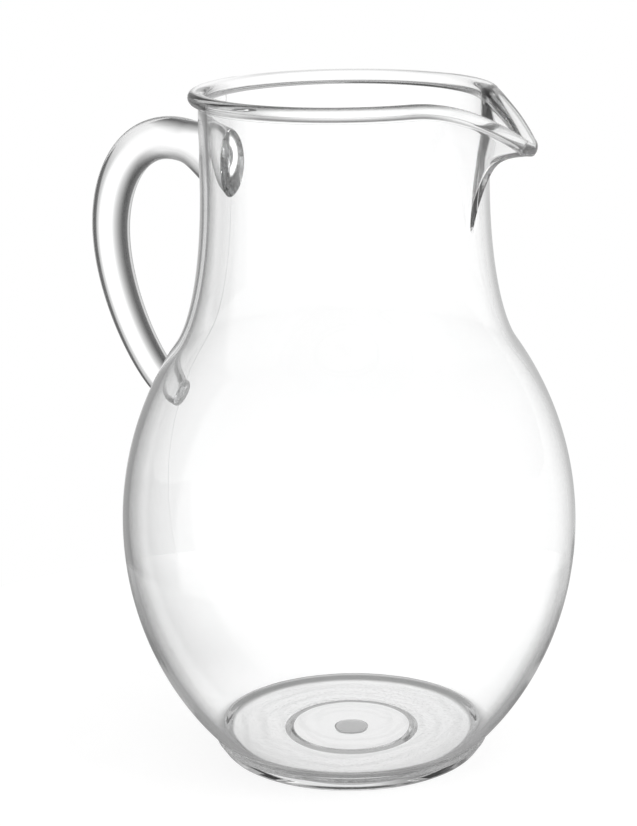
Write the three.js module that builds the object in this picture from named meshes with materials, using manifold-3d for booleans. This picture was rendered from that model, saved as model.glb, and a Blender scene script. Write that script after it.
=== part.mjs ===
// A clear moulded pitcher: one vessel with a pulled spout, a solid bar handle, and the two thin
// adhesive films that bond the handle to the vessel's wall. Millimetres, +Z up, spout toward +X,
// standing on z = 0 with the origin in the middle of its footprint.
import * as THREE from "three";
import { ParametricGeometry } from "three/addons/geometries/ParametricGeometry.js";
import { mergeVertices } from "three/addons/utils/BufferGeometryUtils.js";
import Module from "manifold-3d";

// Outside of the vessel, bottom to top: radii from its axis, and the rise of each part.
const springHeight = 5.2; // where the bowl springs from the foot
const springRadius = 47.9;
const springLean = 38; // degrees above level
const springArm = 8.1; // arms are the lengths of the curve's tangents
const bellyRise = 79.8;
const bellyRadius = 80.9;
const bellyArmDown = 46.2;
const bellyArmUp = 25.2;
const shoulderRise = 65.4;
const shoulderRadius = 60.3;
const shoulderLean = 35; // degrees from upright where the bowl turns into the neck
const shoulderArmDown = 21.5;
const shoulderArmUp = 9.4;
const neckRise = 59.6;
const neckRadius = 50.1;
const neckArm = 31.6;
const neckLength = 27.6; // upright part of the neck, up to the middle of the bead
const beadRadius = 2.4;
const beadOverhang = 1; // the bead's middle stands out from the neck by this much

// Foot and underside.
const footLedge = 1.7; // the foot stands out this far beyond the groove under the bowl
const footGroove = 0.5; // fall of the foot's top from that groove
const footDraft = 2.6; // the foot's side leans in by this much toward the standing face
const footRounding = 1;
const recessRadius = 24.4;
const recessDepth = 1.4;
const recessDraft = 1.5;
const ringWidth = 1.5; // groove round the recess
const ringDepth = 1.2;
const gateRadius = 5.9; // stub of the moulding gate, inside the recess
const gateHeight = 0.8;

// Walls and floor.
const springWall = 2.8;
const bellyWall = 2.3;
const neckWall = 3;
const floorThickness = 7.1; // from the standing face
const floorBlend = 4.2; // height of the blend from floor to wall
const floorInset = 4.4; // the floor is flat up to this far inside the spring of the bowl

// Spout, on the middle line of the bead.
const spoutLength = 20.2; // tip beyond the rim
const spoutDrop = 14.4; // tip below the rim
const spoutDroop = 2.1; // power by which the rim sinks toward the tip
const spoutHalfAngle = 34; // degrees from the spout's middle to where the rim turns outward
const spoutSide = 15.3; // straight run from that turn to the tip
const spoutTip = 2.8; // radius of the tip
const spoutDepth = 42; // the fold fades out this far under the rim
const spoutCrease = 2.2; // power by which the fold narrows with depth
const spoutRoot = 0.1; // share of its width left where it fades out
const spoutLip = 0.45; // share of the length that the last flare under the bead gives
const spoutFlare = 9; // power by which that flare comes
const spoutThinning = 0.45; // share of the wall that is drawn away at the tip

// Handle: the bar's middle line in the plane of the spout.
const handleTopDrop = 26.8; // upper end below the middle of the bead
const handleTopAngle = 31; // degrees at which it climbs from the neck
const handleTopArm = 37.3;
const handleReach = 50.7; // furthest run, from the neck's wall
const handleBackDrop = 29.4; // height of that run below the upper end
const handleBackArmUp = 25.3;
const handleBackArmDown = 28.2;
const handleFootDrop = 57; // lower end below the furthest run
const handleFootArm = 7;
const barRadiusTop = 8.1;
const barRadiusFoot = 5.9;
const padHalfHeight = 11; // flared upper end
const padHalfWidth = 8.7;
const padFlare = 17; // length over which the flare runs out
const endHalfHeight = 5.2; // blunt lower end
const endHalfWidth = 4.8;
const endTaper = 7;

// Fits.
const clearance = 0.3; // between any two neighbouring pieces
const bondThickness = 0.4;

// Fineness of the facets.
const backColumns = 40;
const sweepColumns = 5;
const sideColumns = 3;
const tipColumns = 3;
const barSides = 20;
const barStations = 40;
const turnedSides = 96;

const radians = Math.PI / 180;
const { lerp, clamp, smoothstep } = THREE.MathUtils;
const polar = (radius, angle) => new THREE.Vector2(radius * Math.cos(angle), radius * Math.sin(angle));

const bellyHeight = springHeight + bellyRise;
const shoulderHeight = bellyHeight + shoulderRise;
const neckHeight = shoulderHeight + neckRise;
const rimHeight = neckHeight + neckLength;
const rimRadius = neckRadius + beadOverhang;
const beadFoot = rimHeight - Math.sqrt(beadRadius ** 2 - beadOverhang ** 2);

// The vessel's outside from the foot to the bead, as a chain of tangent curves.
const spring = polar(springArm, springLean * radians);
const lean = polar(1, (90 + shoulderLean) * radians);
const outside = new THREE.Path();
outside.moveTo(springRadius, springHeight);
outside.bezierCurveTo(
  springRadius + spring.x, springHeight + spring.y,
  bellyRadius, bellyHeight - bellyArmDown,
  bellyRadius, bellyHeight,
);
outside.bezierCurveTo(
  bellyRadius, bellyHeight + bellyArmUp,
  shoulderRadius - shoulderArmDown * lean.x, shoulderHeight - shoulderArmDown * lean.y,
  shoulderRadius, shoulderHeight,
);
outside.bezierCurveTo(
  shoulderRadius + shoulderArmUp * lean.x, shoulderHeight + shoulderArmUp * lean.y,
  neckRadius, neckHeight - neckArm,
  neckRadius, neckHeight,
);
outside.lineTo(neckRadius, beadFoot);
const outsideDivisions = [11, 8, 9, 4];

// Points on that outside, moved out along its normal by offset(height).
function offsetOutside(offset) {
  const points = [];
  outside.curves.forEach((curve, index) => {
    const count = outsideDivisions[index];
    for (let i = index === 0 ? 0 : 1; i <= count; i += 1) {
      const point = curve.getPoint(i / count);
      const tangent = curve.getTangent(i / count);
      const normal = new THREE.Vector2(tangent.y, -tangent.x);
      points.push(point.addScaledVector(normal, offset(point.y)));
    }
  });
  return points;
}

function outsideRadiusAt(height) {
  const points = offsetOutside(() => 0);
  const above = points.findIndex((point) => point.y >= height);
  const low = points[above - 1];
  const high = points[above];
  return lerp(low.x, high.x, (height - low.y) / (high.y - low.y));
}

// The wall is thickest at the neck, thinnest at the belly, and thickens again toward the foot.
function wallAt(height) {
  if (height < bellyHeight) {
    return lerp(springWall, bellyWall, smoothstep(height, 0, bellyHeight));
  }
  return lerp(bellyWall, neckWall, smoothstep(height, bellyHeight, neckHeight));
}

// The vessel's section, from the middle of its underside round to the middle of its floor.
function vesselSection() {
  const footRadius = springRadius + footLedge;
  const standRadius = footRadius - footDraft;
  const section = new THREE.Path();
  section.moveTo(0, recessDepth - gateHeight);
  section.lineTo(gateRadius, recessDepth - gateHeight);
  section.lineTo(gateRadius, recessDepth);
  section.lineTo(recessRadius - recessDraft - ringWidth, recessDepth);
  section.lineTo(recessRadius - recessDraft, recessDepth + ringDepth);
  section.lineTo(recessRadius, 0);
  section.lineTo(standRadius - footRounding, 0);
  section.quadraticCurveTo(standRadius, 0, standRadius, footRounding);
  section.lineTo(footRadius, springHeight - footGroove);
  const points = section.getPoints(3);
  points.push(...offsetOutside(() => 0));

  // Bead: round on the outside and over the top, then an ellipse that runs flush into the inner wall.
  const insideRadius = neckRadius - neckWall;
  const beadStart = -Math.PI / 2 - Math.asin(beadOverhang / beadRadius);
  const outerTurns = 8;
  for (let i = 1; i <= outerTurns; i += 1) {
    const angle = lerp(beadStart, Math.PI / 2, i / outerTurns);
    points.push(polar(beadRadius, angle).add(new THREE.Vector2(rimRadius, rimHeight)));
  }
  const innerTurns = 3;
  for (let i = 1; i <= innerTurns; i += 1) {
    const angle = lerp(Math.PI / 2, Math.PI, i / innerTurns);
    const across = (rimRadius - insideRadius) * Math.cos(angle);
    points.push(new THREE.Vector2(rimRadius + across, rimHeight + beadRadius * Math.sin(angle)));
  }

  const inner = offsetOutside((height) => -wallAt(height)).reverse();
  const wall = inner.filter((point) => point.y > floorThickness + floorBlend);
  points.push(...wall);
  const [before, last] = wall.slice(-2);
  const toFloor = (last.y - floorThickness) / (before.y - last.y);
  const knee = last.clone().addScaledVector(last.clone().sub(before), toFloor);
  const flat = Math.min(springRadius - floorInset, knee.x - floorBlend / 2);
  const blend = new THREE.QuadraticBezierCurve(last, knee, new THREE.Vector2(flat, floorThickness));
  points.push(...blend.getPoints(5).slice(1));
  points.push(new THREE.Vector2(gateRadius, floorThickness));
  points.push(new THREE.Vector2(0, floorThickness));
  return points;
}

// Middle line of the rim in plan, from the back round to the tip: the neck's circle, the sweep
// that turns out of it, a straight side, and the rounded tip.
function halfRim() {
  const halfAngle = spoutHalfAngle * radians;
  const tipCentre = new THREE.Vector2(rimRadius + spoutLength - spoutTip, 0);

  // The sweep touches the neck's circle at the half angle and leaves that straight run to the tip.
  const abreast = tipCentre.x * Math.cos(halfAngle);
  const apart = rimRadius ** 2 + tipCentre.x ** 2 - 2 * rimRadius * abreast - spoutTip ** 2;
  const spoutSweep = (apart - spoutSide ** 2) / (abreast + spoutTip - rimRadius) / 2;
  const sweepCentre = polar(rimRadius + spoutSweep, halfAngle);
  const between = sweepCentre.clone().sub(tipCentre);
  const sideNormal = between.angle() - Math.acos((spoutTip + spoutSweep) / between.length());
  const points = [];
  for (let i = 0; i < backColumns / 2; i += 1) {
    points.push(polar(rimRadius, lerp(Math.PI, halfAngle, i / (backColumns / 2))));
  }
  const sweepStart = points.length;
  for (let i = 0; i < sweepColumns; i += 1) {
    const angle = Math.PI + lerp(halfAngle, sideNormal, i / sweepColumns);
    points.push(polar(spoutSweep, angle).add(sweepCentre));
  }
  const sideFrom = polar(spoutSweep, Math.PI + sideNormal).add(sweepCentre);
  const sideTo = polar(spoutTip, sideNormal).add(tipCentre);
  for (let i = 0; i < sideColumns; i += 1) {
    points.push(sideFrom.clone().lerp(sideTo, i / sideColumns));
  }
  for (let i = 0; i <= tipColumns; i += 1) {
    points.push(polar(spoutTip, lerp(sideNormal, 0, i / tipColumns)).add(tipCentre));
  }
  let run = 0;
  const along = points.map((point, i) => {
    run += i > sweepStart ? point.distanceTo(points[i - 1]) : 0;
    return run;
  });
  return points.map((point, i) => ({
    angle: Math.atan2(point.y, point.x),
    pull: point.length() - rimRadius,
    share: along[i] / run,
  }));
}

const half = halfRim();
const mirrored = half.slice(1, -1).reverse().map((column) => ({ ...column, angle: -column.angle }));
const columns = [...half, ...mirrored];

// A column's place on the rim's middle line, carried down the wall to a height: the fold narrows and
// fades with depth, and below it the columns spread out evenly again.
function foldAt(column, height) {
  const fade = rimHeight - spoutDepth;
  const depth = clamp((height - fade) / (beadFoot - fade), 0, 1);
  const pull = column.pull * ((1 - spoutLip) * depth + spoutLip * depth ** spoutFlare);
  const spread = height < fade ? 1 - smoothstep(height, bellyHeight, fade) : depth ** spoutCrease;
  const width = lerp(spoutRoot, 1, spread) * spoutHalfAngle * radians;
  const turn = Math.abs(column.angle) / (spoutHalfAngle * radians);
  const rest = (Math.abs(column.angle) - spoutHalfAngle * radians) / (Math.PI - spoutHalfAngle * radians);
  const angle = turn < 1 ? turn * width : lerp(width, Math.PI, rest);
  const place = polar(rimRadius + pull, Math.sign(column.angle) * angle);
  return { place, angle: Math.sign(column.angle) * angle, depth };
}

// A point of the section set out from that line: straight out from the axis low on the wall, and
// square to the fold near the bead, so that the bead stays round along the spout.
function vesselPoint(index, point, target) {
  const count = columns.length;
  const column = columns[index % count];
  const { place, angle, depth } = foldAt(column, point.y);
  const next = foldAt(columns[(index + 1) % count], point.y).place;
  const previous = foldAt(columns[(index + count - 1) % count], point.y).place;
  const square = previous.sub(next);
  const outward = polar(1, angle);
  const facing = new THREE.Vector2(-square.y, square.x).normalize();
  outward.lerp(facing.multiplyScalar(Math.sign(facing.dot(outward))), smoothstep(depth, 0.6, 1));
  outward.normalize();
  const thinning = 1 - spoutThinning * column.share ** spoutDroop * depth;
  const out = point.x - rimRadius;
  place.addScaledVector(outward, out < 0 ? out * thinning : out);
  const drop = spoutDrop * column.share ** spoutDroop * depth ** 2;
  target.set(place.x, place.y, point.y - drop);
}

// One closed skin with shared corners, no empty faces, and every face turned outward.
function closed(geometry) {
  geometry.deleteAttribute("normal");
  geometry.deleteAttribute("uv");
  const merged = mergeVertices(geometry, 1e-4);
  const position = merged.getAttribute("position");
  const corner = [0, 1, 2].map(() => new THREE.Vector3());
  const faces = [];
  let volume = 0;
  for (let i = 0; i < merged.index.count; i += 3) {
    const face = [0, 1, 2].map((k) => merged.index.getX(i + k));
    if (new Set(face).size === 3) {
      faces.push(face);
      corner.forEach((v, k) => v.fromBufferAttribute(position, face[k]));
      volume += corner[0].dot(corner[1].clone().cross(corner[2]));
    }
  }
  merged.setIndex(faces.flatMap(([a, b, c]) => (volume > 0 ? [a, b, c] : [a, c, b])));
  return merged;
}

function vesselGeometry() {
  const section = vesselSection();
  const place = (u, v, target) => {
    const index = Math.round(u * columns.length);
    const point = section[Math.round(v * (section.length - 1))];
    if (point.x === 0) {
      target.set(0, 0, point.y);
    } else {
      vesselPoint(index, point, target);
    }
  };
  return closed(new ParametricGeometry(place, columns.length, section.length - 1));
}

// The handle's middle line, which starts and ends on the vessel's outer wall.
const handleTop = new THREE.Vector2(neckRadius, rimHeight - handleTopDrop);
const handleBack = new THREE.Vector2(neckRadius + handleReach, handleTop.y - handleBackDrop);
const footHeight = handleBack.y - handleFootDrop;
const handleFoot = new THREE.Vector2(outsideRadiusAt(footHeight), footHeight);
const climb = polar(handleTopArm, handleTopAngle * radians);
const handleLine = new THREE.Path();
handleLine.moveTo(handleTop.x, handleTop.y);
handleLine.bezierCurveTo(
  handleTop.x + climb.x, handleTop.y + climb.y,
  handleBack.x, handleBack.y + handleBackArmUp,
  handleBack.x, handleBack.y,
);
handleLine.bezierCurveTo(
  handleBack.x, handleBack.y - handleBackArmDown,
  handleFoot.x + handleFootArm, handleFoot.y,
  handleFoot.x, handleFoot.y,
);

// The bar from one share of its line to another. An end that lies on the wall runs on into it, and
// each end closes on its own middle.
function barGeometry(from, to) {
  const length = handleLine.getLength();
  const overrun = padHalfHeight + neckWall;
  const station = (step) => {
    const share = lerp(from, to, clamp((step - 2) / (barStations - 4), 0, 1));
    const middle = handleLine.getPointAt(share);
    const along = handleLine.getTangentAt(share);
    const atTop = 1 - smoothstep(share * length, 0, padFlare);
    const atFoot = 1 - smoothstep((1 - share) * length, 0, endTaper);
    const bar = lerp(barRadiusTop, barRadiusFoot, share);
    const height = lerp(lerp(bar, padHalfHeight, atTop), endHalfHeight, atFoot);
    const width = lerp(lerp(bar, padHalfWidth, atTop), endHalfWidth, atFoot);
    if (step < 2 && from === 0) {
      middle.addScaledVector(along, -overrun);
    }
    if (step > barStations - 2 && to === 1) {
      middle.addScaledVector(along, overrun / 2);
    }
    const open = step > 0 && step < barStations ? 1 : 0;
    return { middle, along, height: height * open, width: width * open };
  };
  const stations = Array.from({ length: barStations + 1 }, (_, step) => station(step));
  const place = (u, v, target) => {
    const { middle, along, height, width } = stations[Math.round(v * barStations)];
    const turn = 2 * Math.PI * (Math.round(u * barSides) % barSides) / barSides;
    const rise = height * Math.cos(turn);
    target.set(
      -(middle.x - along.y * rise),
      width * Math.sin(turn),
      middle.y + along.x * rise,
    );
  };
  return closed(new ParametricGeometry(place, barSides, barStations));
}

// The space inside a skin that follows the vessel's outside at a distance.
function turnedGeometry(distance) {
  const points = offsetOutside(() => distance);
  const first = new THREE.Vector2(0, points[0].y);
  const last = new THREE.Vector2(0, points[points.length - 1].y);
  const turned = new THREE.LatheGeometry([first, ...points, last], turnedSides);
  turned.rotateX(Math.PI / 2);
  return closed(turned);
}

const wasm = await Module();
wasm.setup();

function solid(geometry) {
  const vertProperties = new Float32Array(geometry.getAttribute("position").array);
  const triVerts = new Uint32Array(geometry.index.array);
  return new wasm.Manifold(new wasm.Mesh({ numProp: 3, vertProperties, triVerts }));
}

function geometryOf(body) {
  const { vertProperties, triVerts } = body.getMesh();
  const geometry = new THREE.BufferGeometry();
  geometry.setAttribute("position", new THREE.BufferAttribute(vertProperties, 3));
  geometry.setIndex(new THREE.BufferAttribute(triVerts, 1));
  return geometry;
}

// The handle is cut back to leave room for the film, and each film is a slice of the bar's end that
// lies between the handle and the wall, with the clearance on both of its faces. The lower end meets
// the wall level, out of a tight bend, so its film is cut from its section carried straight on.
const filmInside = solid(turnedGeometry(clearance));
const filmOutside = solid(turnedGeometry(clearance + bondThickness));
const handleSeat = solid(turnedGeometry(clearance + bondThickness + clearance));
const handleBody = solid(barGeometry(0, 1)).subtract(handleSeat);
const film = filmOutside.subtract(filmInside);
const upperFilm = solid(barGeometry(0, 0.5)).intersect(film);
const lowerEnd = wasm.Manifold.cylinder(2 * endTaper, 1, 1, barSides, true)
  .scale([endHalfHeight, endHalfWidth, 1])
  .rotate([0, 90, 0])
  .translate([-handleFoot.x, 0, handleFoot.y]);
const lowerFilm = lowerEnd.intersect(film);

function piece(name, geometry, opacity) {
  const material = new THREE.MeshStandardMaterial({
    color: 0xf3f7f7,
    roughness: 0.06,
    metalness: 0,
    transparent: true,
    opacity,
  });
  geometry.computeVertexNormals();
  const mesh = new THREE.Mesh(geometry, material);
  mesh.name = name;
  return mesh;
}

const pitcher = new THREE.Group();
pitcher.add(
  piece("vessel", vesselGeometry(), 0.3),
  piece("handle", geometryOf(handleBody), 0.4),
  piece("upper_bond", geometryOf(upperFilm), 0.3),
  piece("lower_bond", geometryOf(lowerFilm), 0.3),
);

// Centre the footprint, handle and bowl together, over the origin.
const box = new THREE.Box3().setFromObject(pitcher);
pitcher.position.x = -(box.min.x + box.max.x) / 2;

export default pitcher;
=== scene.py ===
import math

import bpy
import numpy as np
from mathutils import Matrix, Vector


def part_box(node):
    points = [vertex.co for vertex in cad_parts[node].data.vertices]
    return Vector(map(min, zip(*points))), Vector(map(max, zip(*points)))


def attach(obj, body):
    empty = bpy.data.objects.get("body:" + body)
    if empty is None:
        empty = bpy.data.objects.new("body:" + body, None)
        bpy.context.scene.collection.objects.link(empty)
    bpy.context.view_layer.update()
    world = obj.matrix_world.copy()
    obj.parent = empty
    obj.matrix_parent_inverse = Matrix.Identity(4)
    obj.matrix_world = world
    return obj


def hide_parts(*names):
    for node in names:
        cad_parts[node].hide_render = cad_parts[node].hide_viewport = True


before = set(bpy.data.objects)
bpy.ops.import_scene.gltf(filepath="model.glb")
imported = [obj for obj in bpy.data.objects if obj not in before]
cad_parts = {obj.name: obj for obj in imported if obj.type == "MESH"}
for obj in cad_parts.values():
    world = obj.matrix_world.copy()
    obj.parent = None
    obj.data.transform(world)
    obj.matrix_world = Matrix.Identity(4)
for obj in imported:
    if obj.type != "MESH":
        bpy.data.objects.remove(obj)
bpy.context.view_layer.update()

# A clear moulded pitcher: bowl, neck and pulled spout in one wall, and a solid bar handle that is
# bonded on at its two ends. Sizes are in millimetres until a mesh is made.
MM = 0.001
LOW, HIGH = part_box("vessel")
AXIS_X = (LOW[0] + HIGH[0]) / 2 / MM

# Outside of the wall, from the foot up.
SPRING = (47.9, 5.2)
SPRING_LEAN, SPRING_ARM = 38, 8.1
BELLY = (80.9, 85.0)
BELLY_ARM_DOWN, BELLY_ARM_UP = 46.2, 25.2
SHOULDER = (60.3, 150.4)
SHOULDER_LEAN, SHOULDER_ARM_DOWN, SHOULDER_ARM_UP = 35, 21.5, 9.4
NECK = (50.1, 210.0)
NECK_ARM = 31.6
RIM_HEIGHT = 237.6
BEAD_RADIUS, BEAD_OVERHANG = 2.4, 1.0
RIM_RADIUS = NECK[0] + BEAD_OVERHANG
BEAD_FOOT = RIM_HEIGHT - math.sqrt(BEAD_RADIUS**2 - BEAD_OVERHANG**2)

# Foot, underside, floor and wall thickness.
FOOT_LEDGE, FOOT_GROOVE, FOOT_DRAFT, FOOT_ROUNDING = 1.7, 0.5, 2.6, 1.0
RECESS_RADIUS, RECESS_DEPTH, RECESS_DRAFT = 24.4, 1.4, 1.5
RING_DEPTH, RING_WIDTH = 1.2, 1.5
GATE_RADIUS, GATE_HEIGHT = 5.9, 0.8
SPRING_WALL, BELLY_WALL, NECK_WALL = 2.8, 2.3, 3.0
FLOOR, FLOOR_BLEND, FLOOR_INSET = 7.1, 4.2, 4.4
EDGE_SOFTNESS = 0.35

# The parting line at the back: a low ridge, with columns of points close beside it.
SEAM_HEIGHT, SEAM_CREST, SEAM_EDGE = 0.042, 0.1, 0.396
SEAM_COLUMNS = (0, 0.12, 0.24, 0.4, 0.8, 1.6)
SEAM_ANGLE = 0.045

# Points along the section and round the rim.
BOWL_STEPS, SHOULDER_STEPS, NECK_STEPS, UPRIGHT_POINTS = 44, 34, 36, 17
BEAD_POINTS, LIP_POINTS, FILLET_POINTS, CORNER_STEPS = 19, 11, 13, 4
FLAT_SPACING = 3.5
BACK_COLUMNS, SWEEP_COLUMNS, SIDE_COLUMNS, TIP_COLUMNS = 76, 26, 14, 12

# Spout, on the middle line of the bead.
SPOUT_LENGTH, SPOUT_DROP, SPOUT_DROOP = 20.2, 14.4, 2.1
SPOUT_HALF_ANGLE = math.radians(34)
SPOUT_SIDE, SPOUT_TIP = 15.3, 2.8
SPOUT_DEPTH, SPOUT_CREASE, SPOUT_ROOT = 42.0, 2.2, 0.1
SPOUT_LIP, SPOUT_FLARE, SPOUT_THINNING = 0.45, 9.0, 0.45
SPOUT_SQUARE_FROM = 0.6
BEAD_MARK_MARGIN = 0.3

# Handle: the bar's middle line, and its half sizes along it.
HANDLE_TOP = (NECK[0], RIM_HEIGHT - 26.8)
HANDLE_TOP_ANGLE, HANDLE_TOP_ARM = math.radians(31), 37.3
HANDLE_BACK = (NECK[0] + 50.7, HANDLE_TOP[1] - 29.4)
HANDLE_BACK_ARM_UP, HANDLE_BACK_ARM_DOWN = 25.3, 28.2
HANDLE_FOOT_HEIGHT, HANDLE_FOOT_ARM = HANDLE_BACK[1] - 57, 7
BAR_TOP, BAR_FOOT = 8.1, 5.9
PAD_HALF_HEIGHT, PAD_HALF_WIDTH, PAD_FLARE = 11.0, 8.7, 17.0
END_HALF_HEIGHT, END_HALF_WIDTH, END_TAPER = 5.2, 4.8, 7.0
LEAD = 16.0
HANDLE_GAP, FILM_GAP = 0.34, 0.04

# Points of the bar and the films: steps along the line, the search for the wall, and the rings of the
# end faces as shares of the bar's half size.
LINE_STEPS, LEAD_POINTS, TANGENT_REACH = 160, 25, 0.2
SEARCH_POINTS, SEARCH_MARGIN, SEARCH_REACH = 900, 0.3, 22
BAR_SIDES, BAR_STATIONS = 64, 230
CAP_RINGS = (0.2, 0.4, 0.58, 0.74, 0.86, 0.94, 0.975, 0.992)
FILM_RINGS = (0.25, 0.5, 0.7, 0.85, 0.93, 0.97)
END_SHARES = (0.0, 0.0012, 0.003, 0.006)
END_SHRINK, END_SHRINK_SHARE = 0.006, 0.0015

# Nicks in the bar: place along it, angle round it, depth and width.
NICKS = ((112.0, 0.06, 0.30, 0.55), (115.5, -0.05, 0.36, 0.6), (58.0, 0.25, 0.12, 0.5))

# The photograph's view, in the upright plane through the lens: distance, height and angles.
TURN = math.radians(31)
EYE_DISTANCE, EYE_HEIGHT = 841.1, 349.2
PITCH, YAW, ROLL = (math.radians(a) for a in (14.95, -0.70, -0.91))
LENS, SENSOR_HEIGHT = 107.0, 36.0


class Flow:
    """A number that runs through a node tree, so that a rule reads as plain arithmetic."""

    def __init__(self, tree, socket):
        self.tree = tree
        self.socket = socket

    def __add__(self, other):
        return reckon("ADD", self, other)

    def __sub__(self, other):
        return reckon("SUBTRACT", self, other)

    def __rsub__(self, other):
        return reckon("SUBTRACT", other, self)

    def __mul__(self, other):
        return reckon("MULTIPLY", self, other)

    def __truediv__(self, other):
        return reckon("DIVIDE", self, other)

    def __pow__(self, other):
        return reckon("POWER", self, other)

    __radd__ = __add__
    __rmul__ = __mul__


def plug(tree, socket, value):
    """Link a flow into a socket, or set a constant on it."""
    if isinstance(value, Flow):
        tree.links.new(value.socket, socket)
    elif isinstance(value, bpy.types.NodeSocket):
        tree.links.new(value, socket)
    else:
        socket.default_value = value


def reckon(operation, *values):
    tree = next(v.tree for v in values if isinstance(v, Flow))
    node = tree.nodes.new("ShaderNodeMath")
    node.operation = operation
    for socket, value in zip(node.inputs, values):
        plug(tree, socket, value)
    return Flow(tree, node.outputs[0])


def blend(low, high, share):
    """low where share is 0, high where it is 1."""
    return low + (high - low) * share


def eased(value, start, end):
    """0 up to start, 1 from end, smooth between."""
    node = value.tree.nodes.new("ShaderNodeMapRange")
    node.interpolation_type = "SMOOTHSTEP"
    for name, item in (("Value", value), ("From Min", start), ("From Max", end)):
        plug(value.tree, node.inputs[name], item)
    return Flow(value.tree, node.outputs[0])


def band(value, start, full, fade, end):
    """0 up to start, 1 from full to fade, 0 from end, smooth between."""
    return eased(value, start, full) * (1 - eased(value, fade, end))


def joined(tree, x, y, z):
    node = tree.nodes.new("ShaderNodeCombineXYZ")
    for socket, value in zip(node.inputs, (x, y, z)):
        plug(tree, socket, value)
    return node.outputs[0]


def split(tree, vector):
    node = tree.nodes.new("ShaderNodeSeparateXYZ")
    tree.links.new(vector, node.inputs[0])
    return [Flow(tree, socket) for socket in node.outputs]


# Shapes: the section of the wall and the plan of the rim.

def bezier(start, first, second, end, count):
    """Points and unit tangents along one curve."""
    t = np.linspace(0, 1, count + 1)[:, None]
    p = np.array([start, first, second, end], float)
    point = (1 - t)**3 * p[0] + 3 * (1 - t)**2 * t * p[1] + 3 * (1 - t) * t**2 * p[2] + t**3 * p[3]
    pace = (1 - t)**2 * (p[1] - p[0]) + 2 * (1 - t) * t * (p[2] - p[1]) + t**2 * (p[3] - p[2])
    return point, pace / np.linalg.norm(pace, axis=1)[:, None]


def polar(radius, angle):
    return np.array([radius * math.cos(angle), radius * math.sin(angle)])


def outside_curve():
    """The wall's outside as points and outward normals, from the groove over the foot to the bead."""
    spring = np.array(SPRING) + polar(SPRING_ARM, math.radians(SPRING_LEAN))
    lean = polar(1, math.radians(90 + SHOULDER_LEAN))
    runs = [
        bezier(SPRING, spring, (BELLY[0], BELLY[1] - BELLY_ARM_DOWN), BELLY, BOWL_STEPS),
        bezier(BELLY, (BELLY[0], BELLY[1] + BELLY_ARM_UP),
               np.array(SHOULDER) - SHOULDER_ARM_DOWN * lean, SHOULDER, SHOULDER_STEPS),
        bezier(SHOULDER, np.array(SHOULDER) + SHOULDER_ARM_UP * lean,
               (NECK[0], NECK[1] - NECK_ARM), NECK, NECK_STEPS),
    ]
    upright = np.linspace(NECK[1], BEAD_FOOT, UPRIGHT_POINTS)
    runs.append((np.column_stack([np.full(UPRIGHT_POINTS, NECK[0]), upright]),
                 np.tile([0.0, 1.0], (UPRIGHT_POINTS, 1))))
    points = np.vstack([run[0][(0 if i == 0 else 1):] for i, run in enumerate(runs)])
    tangents = np.vstack([run[1][(0 if i == 0 else 1):] for i, run in enumerate(runs)])
    return points, np.column_stack([tangents[:, 1], -tangents[:, 0]])


OUTSIDE, OUTWARD = outside_curve()


def wall_radius(height):
    return np.interp(height, OUTSIDE[:, 1], OUTSIDE[:, 0])


def smoothstep(x, low, high):
    t = np.clip((x - low) / (high - low), 0, 1)
    return t * t * (3 - 2 * t)


def wall_thickness(height):
    low = SPRING_WALL + (BELLY_WALL - SPRING_WALL) * smoothstep(height, 0, BELLY[1])
    high = BELLY_WALL + (NECK_WALL - BELLY_WALL) * smoothstep(height, BELLY[1], NECK[1])
    return np.where(height < BELLY[1], low, high)


def softened(corners, reach):
    """A line through corners, each inner corner rounded off over a reach to either side."""
    corners = [np.array(c, float) for c in corners]
    line = [corners[0]]
    for before, corner, after in zip(corners, corners[1:], corners[2:]):
        back, ahead = before - corner, after - corner
        start = corner + back * min(reach / np.linalg.norm(back), 0.45)
        end = corner + ahead * min(reach / np.linalg.norm(ahead), 0.45)
        for t in np.linspace(0, 1, CORNER_STEPS + 1):
            line.append((1 - t)**2 * start + 2 * t * (1 - t) * corner + t**2 * end)
    return np.array(line + [corners[-1]])


def filled(line, spacing):
    """The same line with points added where it runs straight for more than the spacing."""
    points = [line[0]]
    for a, b in zip(line, line[1:]):
        count = max(1, math.ceil(np.linalg.norm(b - a) / spacing))
        points += [a + (b - a) * i / count for i in range(1, count + 1)]
    return np.array(points)


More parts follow.
